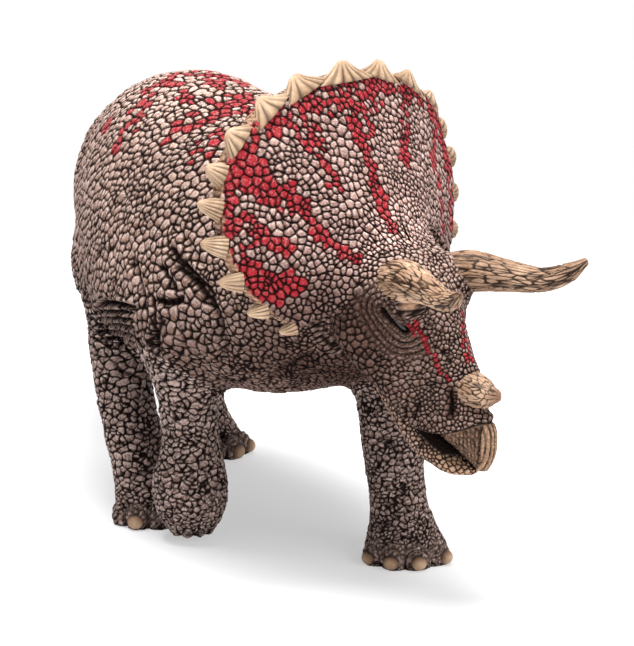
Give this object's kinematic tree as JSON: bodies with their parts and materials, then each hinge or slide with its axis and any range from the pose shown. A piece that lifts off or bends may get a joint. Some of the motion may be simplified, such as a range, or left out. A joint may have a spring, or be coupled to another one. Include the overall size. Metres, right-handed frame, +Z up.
{
  "type": "toy dinosaur figure",
  "caption": "Moulded toy figure of a horned, frilled dinosaur, walking with its head lowered and turned aside.",
  "frame": {"origin": "on the ground, under the middle of the bounding box", "axes": "+X forwards along the body from tail to neck, +Y to the figure's left, +Z up"},
  "size_m": [0.2188, 0.0744, 0.1083],
  "materials": {
    "hide": "pebbled relief, painted taupe brown with a dark wash, pale dry-brushed tops and red streaks",
    "frill_hide": "pebbled relief, painted pinkish taupe with a dark wash and red streaks and rim",
    "leg_hide": "wrinkled relief, painted darker brown with a dark wash",
    "bone": "smooth cracked relief, painted bone with a brown wash"
  },
  "bodies": {
    "root": {"torso_right_shell": "hide", "torso_left_shell": "hide", "hind_leg_right": "leg_hide", "hind_leg_left": "leg_hide", "foreleg_right": "leg_hide", "foreleg_left": "leg_hide", "tail": "hide", "head": "hide", "lower_jaw": "hide", "frill": "frill_hide", "brow_horn_right": "bone", "brow_horn_left": "bone", "nose_horn": "bone"}
  },
  "joints": []
}
